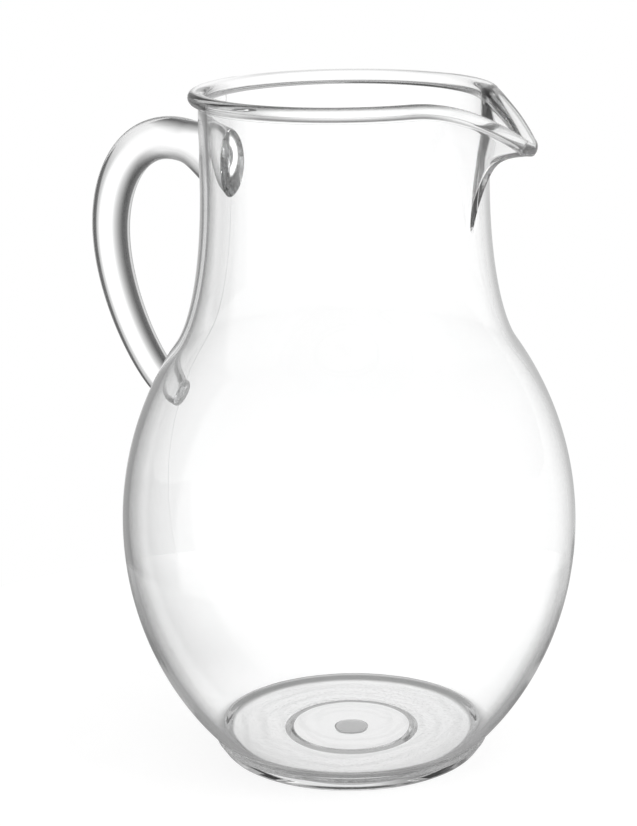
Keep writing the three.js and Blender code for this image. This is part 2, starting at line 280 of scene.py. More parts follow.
def vessel_section():
    """The wall's section from the middle of the underside, up the outside, over the bead and down
    to the middle of the floor. Also the index range that is the outside of the bowl."""
    foot_radius = SPRING[0] + FOOT_LEDGE
    stand_radius = foot_radius - FOOT_DRAFT
    under = softened([
        (0, RECESS_DEPTH - GATE_HEIGHT),
        (GATE_RADIUS, RECESS_DEPTH - GATE_HEIGHT),
        (GATE_RADIUS, RECESS_DEPTH),
        (RECESS_RADIUS - RECESS_DRAFT - RING_WIDTH, RECESS_DEPTH),
        (RECESS_RADIUS - RECESS_DRAFT, RECESS_DEPTH + RING_DEPTH),
        (RECESS_RADIUS, 0),
        (stand_radius - FOOT_ROUNDING, 0),
        (stand_radius, FOOT_ROUNDING),
        (foot_radius, SPRING[1] - FOOT_GROOVE),
        SPRING,
        OUTSIDE[1],
    ], EDGE_SOFTNESS)
    outer = OUTSIDE[2:]
    bead_start = -math.pi / 2 - math.asin(BEAD_OVERHANG / BEAD_RADIUS)
    centre = np.array([RIM_RADIUS, RIM_HEIGHT])
    outer_turn = np.linspace(bead_start, math.pi / 2, BEAD_POINTS)[1:]
    bead = [centre + polar(BEAD_RADIUS, a) for a in outer_turn]
    inside = NECK[0] - NECK_WALL
    for a in np.linspace(math.pi / 2, math.pi, LIP_POINTS)[1:]:
        bead.append(centre + np.array([(RIM_RADIUS - inside) * math.cos(a), BEAD_RADIUS * math.sin(a)]))
    inner = (OUTSIDE - OUTWARD * wall_thickness(OUTSIDE[:, 1])[:, None])[::-1]
    inner = inner[inner[:, 1] > FLOOR + FLOOR_BLEND]
    before, last = inner[-2], inner[-1]
    knee = last + (last - before) * (last[1] - FLOOR) / (before[1] - last[1])
    flat = np.array([min(SPRING[0] - FLOOR_INSET, knee[0] - FLOOR_BLEND / 2), FLOOR])
    turn = np.linspace(0, 1, FILLET_POINTS)[1:, None]
    fillet = (1 - turn)**2 * last + 2 * turn * (1 - turn) * knee + turn**2 * flat
    flat_floor = filled(np.array([flat, (0.0, FLOOR)]), FLAT_SPACING)[1:]
    under = filled(under, FLAT_SPACING)
    section = np.vstack([under, outer, bead, inner, fillet, flat_floor])
    return section, len(under), len(under) + len(outer)


def spaced(start, end, count, last=False):
    """Even steps from start, without the end unless it is the last."""
    values = np.linspace(start, end, count + 1)
    return values if last else values[:-1]


def half_rim():
    """Plan of the bead's middle line from the back to the tip: angle, pull beyond the circle, and
    the share of the spout's side that is passed."""
    tip_centre = np.array([RIM_RADIUS + SPOUT_LENGTH - SPOUT_TIP, 0])
    abreast = tip_centre[0] * math.cos(SPOUT_HALF_ANGLE)
    apart = RIM_RADIUS**2 + tip_centre[0]**2 - 2 * RIM_RADIUS * abreast - SPOUT_TIP**2
    sweep = (apart - SPOUT_SIDE**2) / (abreast + SPOUT_TIP - RIM_RADIUS) / 2
    sweep_centre = polar(RIM_RADIUS + sweep, SPOUT_HALF_ANGLE)
    between = sweep_centre - tip_centre
    reach = (SPOUT_TIP + sweep) / np.linalg.norm(between)
    side_normal = math.atan2(between[1], between[0]) - math.acos(reach)
    back = np.concatenate([
        math.pi - np.array(SEAM_COLUMNS) / BELLY[0],
        spaced(math.pi - SEAM_ANGLE, SPOUT_HALF_ANGLE, BACK_COLUMNS),
    ])
    points = [polar(RIM_RADIUS, a) for a in back]
    sweep_start = len(points)
    for a in spaced(SPOUT_HALF_ANGLE, side_normal, SWEEP_COLUMNS):
        points.append(sweep_centre + polar(sweep, math.pi + a))
    side_from = sweep_centre + polar(sweep, math.pi + side_normal)
    side_to = tip_centre + polar(SPOUT_TIP, side_normal)
    for t in spaced(0, 1, SIDE_COLUMNS):
        points.append(side_from + (side_to - side_from) * t)
    for a in spaced(side_normal, 0, TIP_COLUMNS, last=True):
        points.append(tip_centre + polar(SPOUT_TIP, a))
    points = np.array(points)
    steps = np.linalg.norm(np.diff(points, axis=0, prepend=points[:1]), axis=1)
    steps[:sweep_start + 1] = 0
    along = np.cumsum(steps)
    angle = np.arctan2(points[:, 1], points[:, 0])
    return np.column_stack([angle, np.hypot(*points.T) - RIM_RADIUS, along / along[-1]])


def grid_mesh(name, points, rings, around, start_pole, end_pole):
    """A closed skin: rings of points, each closed round, with a pole at both ends."""
    faces = []
    for r in range(rings - 1):
        for c in range(around):
            d = (c + 1) % around
            faces.append((r * around + c, r * around + d, (r + 1) * around + d, (r + 1) * around + c))
    last = (rings - 1) * around
    for c in range(around):
        d = (c + 1) % around
        faces.append((start_pole, d, c))
        faces.append((end_pole, last + c, last + d))
    mesh = bpy.data.meshes.new(name)
    mesh.from_pydata([tuple(p) for p in points], [], faces)
    mesh.polygons.foreach_set("use_smooth", [True] * len(mesh.polygons))
    return mesh


def note(mesh, name, values):
    """Keep one number for each point of a mesh under a name."""
    layer = mesh.attributes.new(name, "FLOAT", "POINT")
    layer.data.foreach_set("value", np.asarray(values, np.float32))


# Geometry node trees. They read these numbers, which are kept for each point of a mesh.

VESSEL_NOTES = ("angle", "pull", "share", "angle_next", "pull_next", "angle_back", "pull_back",
                "radius", "height", "ridge")
BAR_NOTES = ("turn", "run", "spread", "dent")


def new_tree(name, sizes):
    """A tree with a geometry, a material and named sizes as its inputs."""
    tree = bpy.data.node_groups.new(name, "GeometryNodeTree")
    face = tree.interface
    face.new_socket(name="Geometry", in_out="INPUT", socket_type="NodeSocketGeometry")
    face.new_socket(name="Material", in_out="INPUT", socket_type="NodeSocketMaterial")
    for size, value in sizes.items():
        socket = face.new_socket(name=size, in_out="INPUT", socket_type="NodeSocketFloat")
        socket.default_value = value
    face.new_socket(name="Geometry", in_out="OUTPUT", socket_type="NodeSocketGeometry")
    source = tree.nodes.new("NodeGroupInput")
    return tree, source, {size: Flow(tree, source.outputs[size]) for size in sizes}


def noted(tree, name):
    node = tree.nodes.new("GeometryNodeInputNamedAttribute")
    node.data_type = "FLOAT"
    node.inputs["Name"].default_value = name
    return Flow(tree, node.outputs["Attribute"])


def close_tree(tree, source, geometry, position):
    """Put the points in place, realize, and set the material."""
    place = tree.nodes.new("GeometryNodeSetPosition")
    tree.links.new(geometry, place.inputs["Geometry"])
    tree.links.new(position, place.inputs["Position"])
    real = tree.nodes.new("GeometryNodeRealizeInstances")
    tree.links.new(place.outputs[0], real.inputs[0])
    paint = tree.nodes.new("GeometryNodeSetMaterial")
    tree.links.new(real.outputs[0], paint.inputs["Geometry"])
    tree.links.new(source.outputs["Material"], paint.inputs["Material"])
    sink = tree.nodes.new("NodeGroupOutput")
    tree.links.new(paint.outputs[0], sink.inputs[0])


def settled(mesh, tree, material, sizes, name):
    """Run a tree on a mesh and keep the result as a plain mesh piece on the pitcher."""
    draft = bpy.data.objects.new(name + "_draft", mesh)
    bpy.context.scene.collection.objects.link(draft)
    step = draft.modifiers.new("rule", "NODES")
    step.node_group = tree
    for item in tree.interface.items_tree:
        if item.in_out == "INPUT" and item.name in sizes:
            step[item.identifier] = sizes[item.name]
        elif item.in_out == "INPUT" and item.name == "Material":
            step[item.identifier] = material
    bpy.context.view_layer.update()
    graph = bpy.context.evaluated_depsgraph_get()
    result = bpy.data.meshes.new_from_object(draft.evaluated_get(graph))
    draft.modifiers.clear()
    bpy.data.objects.remove(draft)
    result.name = name
    for layer in [a.name for a in result.attributes if a.name in VESSEL_NOTES + BAR_NOTES]:
        result.attributes.remove(result.attributes[layer])
    piece = bpy.data.objects.new(name, result)
    bpy.context.scene.collection.objects.link(piece)
    turn_outward(result)
    return piece


def turn_outward(mesh):
    """Flip the faces if they enclose a negative volume."""
    mesh.calc_loop_triangles()
    corners = np.empty(len(mesh.loop_triangles) * 3, np.int32)
    mesh.loop_triangles.foreach_get("vertices", corners)
    points = np.empty(len(mesh.vertices) * 3)
    mesh.vertices.foreach_get("co", points)
    a, b, c = points.reshape(-1, 3)[corners.reshape(-1, 3)].transpose(1, 0, 2)
    if np.einsum("ij,ij->", a, np.cross(b, c)) < 0:
        mesh.flip_normals()


def fold_place(sizes, angle, pull, height):
    """Where a column of the rim stands at a height: the fold narrows and fades with depth, and
    below it the columns spread out evenly again."""
    half = sizes["Spout half angle"]
    fade = RIM_HEIGHT - sizes["Spout depth"]
    depth = reckon("MINIMUM", reckon("MAXIMUM", (height - fade) / (BEAD_FOOT - fade), 0), 1)
    lip = sizes["Spout lip"]
    out = pull * ((1 - lip) * depth + lip * depth ** sizes["Spout flare"])
    above = reckon("GREATER_THAN", height, fade)
    low = 1 - eased(height, BELLY[1], fade)
    spread = blend(low, depth ** sizes["Spout crease"], above)
    width = blend(sizes["Spout root"], 1, spread) * half
    size = reckon("ABSOLUTE", angle)
    inside = size / half * width
    rest = blend(width, math.pi, (size - half) / (math.pi - half))
    turned = blend(rest, inside, reckon("LESS_THAN", size, half)) * reckon("SIGN", angle)
    reach = RIM_RADIUS + out
    return reach * reckon("COSINE", turned), reach * reckon("SINE", turned), turned, depth


def vessel_tree():
    tree, source, sizes = new_tree("pulled spout", {
        "Spout half angle": SPOUT_HALF_ANGLE,
        "Spout depth": SPOUT_DEPTH,
        "Spout crease": SPOUT_CREASE,
        "Spout root": SPOUT_ROOT,
        "Spout lip": SPOUT_LIP,
        "Spout flare": SPOUT_FLARE,
        "Spout drop": SPOUT_DROP,
        "Spout droop": SPOUT_DROOP,
        "Spout thinning": SPOUT_THINNING,
        "Axis": AXIS_X,
    })
    read = {name: noted(tree, name) for name in VESSEL_NOTES}
    height = read["height"]
    x, y, turned, depth = fold_place(sizes, read["angle"], read["pull"], height)
    x_next, y_next, _, _ = fold_place(sizes, read["angle_next"], read["pull_next"], height)
    x_back, y_back, _, _ = fold_place(sizes, read["angle_back"], read["pull_back"], height)

    # Square to the fold near the bead, straight out from the axis lower down.
    run_x, run_y = x_back - x_next, y_back - y_next
    length = reckon("MAXIMUM", reckon("SQRT", run_x * run_x + run_y * run_y), 1e-6)
    face_x, face_y = 0 - run_y / length, run_x / length
    ray_x, ray_y = reckon("COSINE", turned), reckon("SINE", turned)
    side = reckon("SIGN", face_x * ray_x + face_y * ray_y)
    square = eased(depth, SPOUT_SQUARE_FROM, 1.0)
    out_x = blend(ray_x, face_x * side, square)
    out_y = blend(ray_y, face_y * side, square)
    unit = reckon("SQRT", out_x * out_x + out_y * out_y)
    droop = read["share"] ** sizes["Spout droop"]
    offset = read["radius"] - RIM_RADIUS
    thinned = offset * (1 - sizes["Spout thinning"] * droop * depth)
    offset = blend(offset, thinned, reckon("LESS_THAN", offset, 0)) + read["ridge"]
    px = (x + out_x / unit * offset + sizes["Axis"]) * MM
    py = (y + out_y / unit * offset) * MM
    pz = (height - sizes["Spout drop"] * droop * depth * depth) * MM

    # The two ends of the section stay on the axis.
    open_ring = reckon("GREATER_THAN", read["radius"], 0.001)
    px = blend(sizes["Axis"] * MM, px, open_ring)
    py = py * open_ring
    pz = blend(height * MM, pz, open_ring)
    close_tree(tree, source, source.outputs["Geometry"], joined(tree, px, py, pz))
    return tree


def vessel_mesh():
    """The skin's corners with the numbers that the spout's rule reads."""
    section, outer_from, outer_to = vessel_section()
    half = half_rim()
    mirrored = half[1:-1][::-1] * [-1, 1, 1]
    columns = np.vstack([half, mirrored])
    around = len(columns)
    inner = section[1:-1]
    rings = len(inner)
    ahead, behind = np.roll(columns, -1, axis=0), np.roll(columns, 1, axis=0)
    ring = np.repeat(np.arange(rings), around)
    col = np.tile(np.arange(around), rings)
    poles = [rings * around, rings * around + 1]
    mesh = grid_mesh("vessel", np.zeros((rings * around + 2, 3)), rings, around, *poles)
    ends = section[[0, -1]]

    def over(values):
        return np.concatenate([values, [0, 0]])

    seam = np.minimum(np.abs(np.pi - np.abs(columns[:, 0])), 1) * BELLY[0]
    raised = SEAM_HEIGHT * (1 - smoothstep(seam, SEAM_CREST, SEAM_EDGE))
    on_bowl = ((ring + 1 >= outer_from) & (ring + 1 < outer_to)).astype(float)
    note(mesh, "angle", over(columns[col, 0]))
    note(mesh, "pull", over(columns[col, 1]))
    note(mesh, "share", over(columns[col, 2]))
    note(mesh, "angle_next", over(ahead[col, 0]))
    note(mesh, "pull_next", over(ahead[col, 1]))
    note(mesh, "angle_back", over(behind[col, 0]))
    note(mesh, "pull_back", over(behind[col, 1]))
    note(mesh, "radius", np.concatenate([inner[ring, 0], ends[:, 0]]))
    note(mesh, "height", np.concatenate([inner[ring, 1], ends[:, 1]]))
    note(mesh, "ridge", over(raised[col] * on_bowl))
    note(mesh, "bead", over((inner[ring, 1] > BEAD_FOOT - BEAD_MARK_MARGIN).astype(float)))
    return mesh


# Handle: a bar along a path, closed at both ends on the wall of the vessel.

def handle_line():
    """The bar's middle line in its plane: distance from the axis and height, with straight leads
    that run on into the wall."""
    foot = np.array([float(wall_radius(HANDLE_FOOT_HEIGHT)), HANDLE_FOOT_HEIGHT])
    climb = polar(HANDLE_TOP_ARM, HANDLE_TOP_ANGLE)
    top, back = np.array(HANDLE_TOP), np.array(HANDLE_BACK)
    upper = bezier(top, top + climb, back + [0, HANDLE_BACK_ARM_UP], back, LINE_STEPS)[0]
    lower = bezier(back, back - [0, HANDLE_BACK_ARM_DOWN], foot + [HANDLE_FOOT_ARM, 0], foot, LINE_STEPS)[0]
    line = np.vstack([upper, lower[1:]])
    first = line[0] - LEAD * climb / HANDLE_TOP_ARM
    last = line[-1] - [LEAD, 0]
    lead_in = np.linspace(first, line[0], LEAD_POINTS)[:-1]
    lead_out = np.linspace(line[-1], last, LEAD_POINTS)[1:]
    return np.vstack([lead_in, line, lead_out])


LINE = handle_line()
RUN = np.concatenate([[0], np.cumsum(np.linalg.norm(np.diff(LINE, axis=0), axis=1))])
BAR_LENGTH = RUN[-1] - 2 * LEAD


def bar_half_sizes(run):
    """Half height and half width of the bar at a distance along the line with its leads."""
    s = run - LEAD
    share = np.clip(s / BAR_LENGTH, 0, 1)
    at_top = 1 - smoothstep(s, 0, PAD_FLARE)
    at_foot = 1 - smoothstep(BAR_LENGTH - s, 0, END_TAPER)
    bar = BAR_TOP + (BAR_FOOT - BAR_TOP) * share
    height = bar + (PAD_HALF_HEIGHT - bar) * at_top
    width = bar + (PAD_HALF_WIDTH - bar) * at_top
    return height + (END_HALF_HEIGHT - height) * at_foot, width + (END_HALF_WIDTH - width) * at_foot


def bar_points(run, turn, spread):
    """Places on the bar: distance from the axis, sideways, and height."""
    def on_line(at):
        return np.stack([np.interp(at, RUN, LINE[:, k]) for k in (0, 1)], axis=-1)

    middle = on_line(run)
    along = on_line(run + TANGENT_REACH) - on_line(run - TANGENT_REACH)
    along /= np.linalg.norm(along, axis=-1)[..., None]
    height, width = bar_half_sizes(run)
    rise = height * np.cos(turn) * spread
    return np.stack([middle[..., 0] - along[..., 1] * rise, width * np.sin(turn) * spread,
                     middle[..., 1] + along[..., 0] * rise], axis=-1)


def meets_wall(turn, spread, gap, at_top):
    """The run at which a line of the bar reaches the wall's outside at a gap."""
    runs = np.linspace(SEARCH_MARGIN, LEAD + SEARCH_REACH, SEARCH_POINTS)
    if not at_top:
        runs = RUN[-1] - runs
    grid_run = np.broadcast_to(runs, turn.shape + runs.shape)
    points = bar_points(grid_run, turn[..., None], spread[..., None])
    clear = np.hypot(points[..., 0], points[..., 1]) - wall_radius(points[..., 2]) - gap
    inside = clear < 0
    last = inside.shape[-1] - 1 - np.argmax(inside[..., ::-1], axis=-1)
    a = np.take_along_axis(clear, last[..., None], -1)[..., 0]
    b = np.take_along_axis(clear, np.minimum(last + 1, SEARCH_POINTS - 1)[..., None], -1)[..., 0]
    step = runs[1] - runs[0]
    return runs[last] + step * (a / (a - b))


def bar_rings():
    """Run, turn and spread of every point of the bar, ring by ring from the upper end's face."""
    turn = np.arange(BAR_SIDES) * 2 * np.pi / BAR_SIDES
    full = np.ones(BAR_SIDES)
    rows = []
    for spread in CAP_RINGS:
        rows.append((meets_wall(turn, full * spread, HANDLE_GAP, True), full * spread))
    start = meets_wall(turn, full, HANDLE_GAP, True)
    end = meets_wall(turn, full, HANDLE_GAP, False)
    at_end = np.array(END_SHARES)
    for share in np.concatenate([at_end, np.linspace(0.01, 0.99, BAR_STATIONS), 1 - at_end[::-1]]):
        shrink = 1.0 - END_SHRINK * math.exp(-min(share, 1 - share) / END_SHRINK_SHARE)
        rows.append((start + (end - start) * share, full * shrink))
    for spread in CAP_RINGS[::-1]:
        rows.append((meets_wall(turn, full * spread, HANDLE_GAP, False), full * spread))
    run = np.array([row[0] for row in rows])
    spread = np.array([row[1] for row in rows])
    return run, np.broadcast_to(turn, run.shape), spread


def handle_tree():
    tree, source, sizes = new_tree("bar along a path", {
        "Bar at top": BAR_TOP, "Bar at foot": BAR_FOOT, "Bar length": BAR_LENGTH, "Lead": LEAD,
        "Pad half height": PAD_HALF_HEIGHT, "Pad half width": PAD_HALF_WIDTH, "Pad flare": PAD_FLARE,
        "End half height": END_HALF_HEIGHT, "End half width": END_HALF_WIDTH, "End taper": END_TAPER,
    })
    tree.interface.new_socket(name="Path", in_out="INPUT", socket_type="NodeSocketObject")
    path = tree.nodes.new("GeometryNodeObjectInfo")
    tree.links.new(source.outputs["Path"], path.inputs["Object"])
    turn, run, spread, dent = (noted(tree, name) for name in BAR_NOTES)
    sample = tree.nodes.new("GeometryNodeSampleCurve")
    sample.mode = "LENGTH"
    tree.links.new(path.outputs["Geometry"], sample.inputs["Curves"])
    plug(tree, sample.inputs["Length"], run * MM)
    mx, my, mz = split(tree, sample.outputs["Position"])
    tx, _, tz = split(tree, sample.outputs["Tangent"])
    s = run - sizes["Lead"]
    share = reckon("MINIMUM", reckon("MAXIMUM", s / sizes["Bar length"], 0), 1)
    at_top = 1 - eased(s, 0, sizes["Pad flare"])
    at_foot = 1 - eased(sizes["Bar length"] - s, 0, sizes["End taper"])
    bar = blend(sizes["Bar at top"], sizes["Bar at foot"], share)
    height = blend(blend(bar, sizes["Pad half height"], at_top), sizes["End half height"], at_foot)
    width = blend(blend(bar, sizes["Pad half width"], at_top), sizes["End half width"], at_foot)
    rise = (height - dent) * reckon("COSINE", turn) * spread * MM
    aside = (width - dent) * reckon("SINE", turn) * spread * MM
    position = joined(tree, mx + tz * rise, my + aside, mz - tx * rise)
    close_tree(tree, source, source.outputs["Geometry"], position)
    return tree


def path_object():
    """The bar's middle line as a curve, on the handle's side of the vessel."""
    curve = bpy.data.curves.new("handle_path", "CURVE")
    curve.dimensions = "3D"
    spline = curve.splines.new("POLY")
    spline.points.add(len(LINE) - 1)
    for point, (r, z) in zip(spline.points, LINE):
        point.co = ((AXIS_X - r) * MM, 0, z * MM, 1)
    path = bpy.data.objects.new("handle_path", curve)
    bpy.context.scene.collection.objects.link(path)
    return path


def handle_piece(material):
    run, turn, spread = bar_rings()
    rings, around = run.shape
    mesh = grid_mesh("handle", np.zeros((rings * around + 2, 3)), rings, around,
                     rings * around, rings * around + 1)
    centre = [meets_wall(np.zeros(1), np.zeros(1), HANDLE_GAP, top)[0] for top in (True, False)]
    dent = np.zeros(run.shape)
    for at, angle, deep, wide in NICKS:
        round_bar = ((turn + np.pi - angle) % (2 * np.pi) - np.pi) * BAR_FOOT
        far = np.hypot(run - LEAD - at, round_bar)
        dent += deep * np.exp(-(far / wide)**2)
    note(mesh, "run", np.concatenate([run.ravel(), centre]))
    note(mesh, "turn", np.concatenate([turn.ravel(), [0, 0]]))
    note(mesh, "spread", np.concatenate([spread.ravel(), [0, 0]]))
    note(mesh, "dent", np.concatenate([dent.ravel(), [0, 0]]))
    # The bar's inner side, toward the vessel, is marked here for the painted shade of its own edge ramp.
    note(mesh, "inner", np.concatenate([0.5 - 0.5 * np.cos(turn.ravel()), [0.5, 0.5]]))
    path = path_object()
    piece = settled(mesh, handle_tree(), material, {"Path": path}, "handle_bar")
    bpy.data.objects.remove(path)
    return piece


def film_piece(name, material, at_top):
    """The thin layer of cement between the bar's end and the wall, just inside the bar's outline."""
    turn = np.arange(BAR_SIDES) * 2 * np.pi / BAR_SIDES
    rows = []
    for gap, order in ((FILM_GAP, FILM_RINGS), (HANDLE_GAP - FILM_GAP, FILM_RINGS[::-1])):
        for spread in order:
            run = meets_wall(turn, np.full(BAR_SIDES, spread), gap, at_top)
            rows.append(bar_points(run, turn, np.full(BAR_SIDES, spread)))
    ends = []
    for gap in (FILM_GAP, HANDLE_GAP - FILM_GAP):
        run = meets_wall(np.zeros(1), np.zeros(1), gap, at_top)
        ends.append(bar_points(run, np.zeros(1), np.zeros(1))[0])
    points = np.vstack(rows + [np.array(ends)])
    points = np.column_stack([AXIS_X - points[:, 0], points[:, 1], points[:, 2]]) * MM
    count = len(rows) * BAR_SIDES
    mesh = grid_mesh(name, points, len(rows), BAR_SIDES, count, count + 1)
    turn_outward(mesh)
    mesh.materials.append(material)
    piece = bpy.data.objects.new(name, mesh)
    bpy.context.scene.collection.objects.link(piece)
    return piece


# Materials. FORWARD is the photograph's line of sight in plan.

FORWARD = TURN + math.pi / 2
PLASTIC_INDEX, CEMENT_INDEX = 1.49, 1.48

# Painted edge shade of the plastic, a grey on its colour from a surface that is seen square on, 0, to one
# seen edge on, 1.
WALL_EDGE_SHADE = [(0.0, 1.0), (0.66, 1.0), (0.85, 0.72), (1.0, 0.5)]
BEAD_EDGE_SHADE = [(0.0, 1.0), (0.45, 1.0), (0.65, 0.5), (1.0, 0.3)]
FRONT_EDGE_SHADE = [(0.0, 1.0), (0.1, 1.0), (0.22, 0.35), (0.45, 0.12), (1.0, 0.1)]
BAR_EDGE_SHADE = [(0.0, 1.0), (0.22, 1.0), (0.32, 0.35), (0.45, 0.3), (1.0, 0.3)]
INNER_SIDE_SHADE = [(0.0, 1.0), (0.17, 1.0), (0.3, 0.5), (0.5, 0.4), (1.0, 0.3)]
# Shares of the painted edge shade that are lifted at the rim's two ends and along the bar's upper stretch.
RIM_ENDS_SHADE_LIFT, BAR_TOP_SHADE_LIFT = 0.85, 0.65

# The vessel's marks: how rough, how grey (painted shade at the gate and in the ring groove, the streaks'
# own tone) and how hazy.
SMEAR_ROUGH, SPOUT_ROUGH, RING_ROUGH, SCUFF_ROUGH = 0.012, 0.07, 0.12, 0.22
GATE_ROUGH, GATE_GRIT = 0.35, 0.2
GATE_SHADE, RING_SHADE, STREAK_GREY = 0.55, 0.78, 0.09
SPOUT_HAZE = 0.06
WAVE_RELIEF, LINE_RELIEF, GRIT_RELIEF = 0.6, 0.02, 0.25

# The cement: painted light, as the glow of a highlight crescent in the upper film and of the lower film,
# and how cloudy and rough it is.
HIGHLIGHT_PAINTED_GLOW, LOWER_PAINTED_GLOW = 0.8, 0.1
CEMENT_CLOUD, CEMENT_ROUGH, BUBBLE_ROUGH = 0.7, 0.06, 0.3


def new_material(name):
    material = bpy.data.materials.new(name)
    material.use_nodes = True
    tree = material.node_tree
    place = tree.nodes.new("ShaderNodeTexCoord").outputs["Object"]
    return material, tree, tree.nodes["Principled BSDF"], place


def seen_from_front(x, y):
    """How far ahead along the photograph's line of sight a plan place lies, and how far right of it."""
    ahead = x * math.cos(FORWARD) + y * math.sin(FORWARD)
    return ahead, x * math.sin(FORWARD) - y * math.cos(FORWARD)


def in_mm(tree, place):
    """The three parts of a place, in millimetres."""
    return [part / MM for part in split(tree, place)]


def noise(tree, vector, scale, detail):
    node = tree.nodes.new("ShaderNodeTexNoise")
    node.inputs["Scale"].default_value = scale
    node.inputs["Detail"].default_value = detail
    tree.links.new(vector, node.inputs["Vector"])
    return Flow(tree, node.outputs["Fac"])


def ramp(tree, value, stops):
    """A grey or a colour by value, straight between the stops."""
    node = tree.nodes.new("ShaderNodeValToRGB")
    marks = node.color_ramp.elements
    while len(marks) < len(stops):
        marks.new(0.5)
    for mark, (position, level) in zip(marks, stops):
        mark.position = position
        colour = level if isinstance(level, tuple) else (level, level, level)
        mark.color = (*colour, 1)
    plug(tree, node.inputs["Fac"], value)
    return Flow(tree, node.outputs["Color"])


def roughened(tree, shader, height, strength, distance):
    """Fine relief on a surface, by bump alone."""
    bump = tree.nodes.new("ShaderNodeBump")
    bump.inputs["Strength"].default_value = strength
    bump.inputs["Distance"].default_value = distance
    plug(tree, bump.inputs["Height"], height)
    tree.links.new(bump.outputs["Normal"], shader.inputs["Normal"])


def clear_plastic(name, edge, marked_edge_shade, mark, details):
    """Polished clear plastic: faint flow waves and handling marks, and painted shade on the edge where
    the wall is seen along its length, with painted edge shade of its own where the piece is marked.
    What one piece alone has is added by its details, which change the look: painted shade and tone,
    roughness, relief and clearness."""
    material, tree, shader, place = new_material(name)
    shader.inputs["IOR"].default_value = PLASTIC_INDEX
    smear = noise(tree, place, 30, 3)
    flow_map = tree.nodes.new("ShaderNodeMapping")
    flow_map.inputs["Scale"].default_value = (1.0, 1.0, 0.35)
    tree.links.new(place, flow_map.inputs["Vector"])
    weight = tree.nodes.new("ShaderNodeLayerWeight")
    weight.inputs["Blend"].default_value = 0.5
    facing = Flow(tree, weight.outputs["Facing"])
    attribute = tree.nodes.new("ShaderNodeAttribute")
    attribute.attribute_name = mark
    marked = eased(Flow(tree, attribute.outputs["Fac"]), 0.5, 0.85)
    look = {
        # Painted shade: the colour is greyer where the surface is seen edge on, by its own ramp where the
        # piece is marked.
        "shade_and_tone": blend(ramp(tree, facing, edge), ramp(tree, facing, marked_edge_shade), marked),
        "rough": eased(smear, 0.52, 0.78) * SMEAR_ROUGH,
        "relief": noise(tree, flow_map.outputs["Vector"], 45, 2) * WAVE_RELIEF,
        "clear": 1.0,
    }
    details(tree, place, look, facing, marked, smear)
    mix = tree.nodes.new("ShaderNodeMix")
    mix.data_type = "RGBA"
    mix.blend_type = "MULTIPLY"
    mix.inputs["Factor"].default_value = 1.0
    plug(tree, mix.inputs["A"], ramp(tree, smear, [(0.3, (0.992, 0.995, 0.995)), (0.7, (1.0, 1.0, 1.0))]))
    plug(tree, mix.inputs["B"], look["shade_and_tone"])
    tree.links.new(mix.outputs["Result"], shader.inputs["Base Color"])
    plug(tree, shader.inputs["Roughness"], look["rough"])
    plug(tree, shader.inputs["Transmission Weight"], look["clear"])
    roughened(tree, shader, look["relief"], 0.12, 0.0006)
    return material


def vessel_details(tree, place, look, facing, marked, smear):
    """Painted shade on the bead's edge, greyer toward the front and lifted at the rim's two ends; the
    spout is a little hazy, the gate and the ring groove are frosted and darkened by painted shade, the
    standing face is scuffed, and the floor has fine turned lines and faint streaks."""
    x, y, z = in_mm(tree, place)
    dx = x - AXIS_X
    radius = reckon("SQRT", dx * dx + y * y)
    ahead, aside = seen_from_front(dx, y)
    # Painted shade: the bead's edge is greyer on the front side and lifted at the rim's two ends.
    front_shade = eased(ahead * -1, 5, 25) * marked
    ends = eased(reckon("ABSOLUTE", aside), 26, 42) * eased(z, 200, 212)
    shade_and_tone = blend(look["shade_and_tone"], ramp(tree, facing, FRONT_EDGE_SHADE), front_shade)
    shade_and_tone = blend(shade_and_tone, 1.0, ends * RIM_ENDS_SHADE_LIFT)

    spout = eased(dx, 45.5, 50.5) * eased(z, 190, 200)
    gate = (1 - eased(radius, GATE_RADIUS - 0.3, GATE_RADIUS + 0.1)) * (1 - eased(z, 1.0, 1.6))
    ring = band(radius, 21.5, 21.9, RECESS_RADIUS - 0.4, RECESS_RADIUS) * (1 - eased(z, 3.0, 3.4))
    grit = noise(tree, place, 900, 2)
    scuff = eased(grit, 0.50, 0.62) * (1 - eased(z, 0.4, 1.2)) * eased(radius, 22.5, 24.0)
    on_floor = 1 - eased(z, FLOOR + 0.1, FLOOR + 0.7)
    lines = reckon("SINE", radius * 5.2) * (1 - eased(radius, 40, 44)) * on_floor
    streak = eased(reckon("SINE", radius * 0.95 + smear * 16), 0.0, 1.0) * on_floor
    streak = streak * band(radius, 10, 16, 41, 45)

    # Painted shade darkens the gate and the ring groove; the streaks are a tone of the vessel's floor
    # itself.
    look["shade_and_tone"] = shade_and_tone * (1 - gate * GATE_SHADE) * (1 - ring * RING_SHADE) * (1 - streak * STREAK_GREY)
    look["rough"] += (spout * SPOUT_ROUGH + gate * (grit * GATE_GRIT + GATE_ROUGH)
                      + ring * RING_ROUGH + scuff * SCUFF_ROUGH)
    look["relief"] += lines * LINE_RELIEF + grit * (gate + scuff) * GRIT_RELIEF
    look["clear"] = 1 - spout * SPOUT_HAZE


def bar_details(tree, place, look, *_):
    """The painted edge shade is lifted along the bar's upper stretch."""
    z = in_mm(tree, place)[2]
    look["shade_and_tone"] = blend(look["shade_and_tone"], 1.0, eased(z, 206, 222) * BAR_TOP_SHADE_LIFT)


